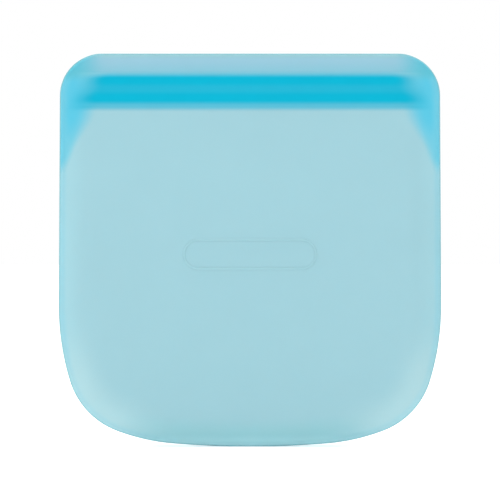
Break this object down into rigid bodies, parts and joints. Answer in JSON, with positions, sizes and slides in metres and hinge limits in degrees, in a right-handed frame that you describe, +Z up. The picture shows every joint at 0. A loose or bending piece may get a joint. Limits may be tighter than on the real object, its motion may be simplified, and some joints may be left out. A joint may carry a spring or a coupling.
{
  "type": "reusable silicone food bag",
  "caption": "Flat translucent silicone food bag with rounded corners, bonded side seams, pull lips and a press-to-close ribbed mouth.",
  "frame": {"origin": "middle of the bottom edge, at the bottom of the bounding box, on the parting plane between the halves", "axes": "+Z up through the mouth, +X to the right across the width, -Y out of the front panel"},
  "size_m": [0.1832, 0.0183, 0.188],
  "materials": {
    "clear_silicone": "satin",
    "tinted_silicone": "satin"
  },
  "bodies": {
    "seam_frame": {"perimeter_seam": "clear_silicone", "left_corner_web": "tinted_silicone", "right_corner_web": "tinted_silicone"},
    "front_half": {"front_panel": "clear_silicone", "front_lip": "clear_silicone", "front_upper_rib": "tinted_silicone", "front_lower_rib": "tinted_silicone", "raised_label_frame": "clear_silicone"},
    "rear_half": {"rear_panel": "clear_silicone", "rear_lip": "clear_silicone", "rear_upper_channel": "tinted_silicone", "rear_lower_channel": "tinted_silicone"}
  },
  "joints": [
    {"name": "front_mouth_hinge", "type": "hinge", "parent": "seam_frame", "child": "front_half", "pos_m": [0, -0.0015, 0.001], "axis": [1, 0, 0], "range_deg": [0, 9], "stiffness_Nm_per_rad": 2},
    {"name": "rear_mouth_hinge", "type": "hinge", "parent": "seam_frame", "child": "rear_half", "pos_m": [0, 0.0015, 0.001], "axis": [-1, 0, 0], "range_deg": [0, 9], "stiffness_Nm_per_rad": 2}
  ]
}
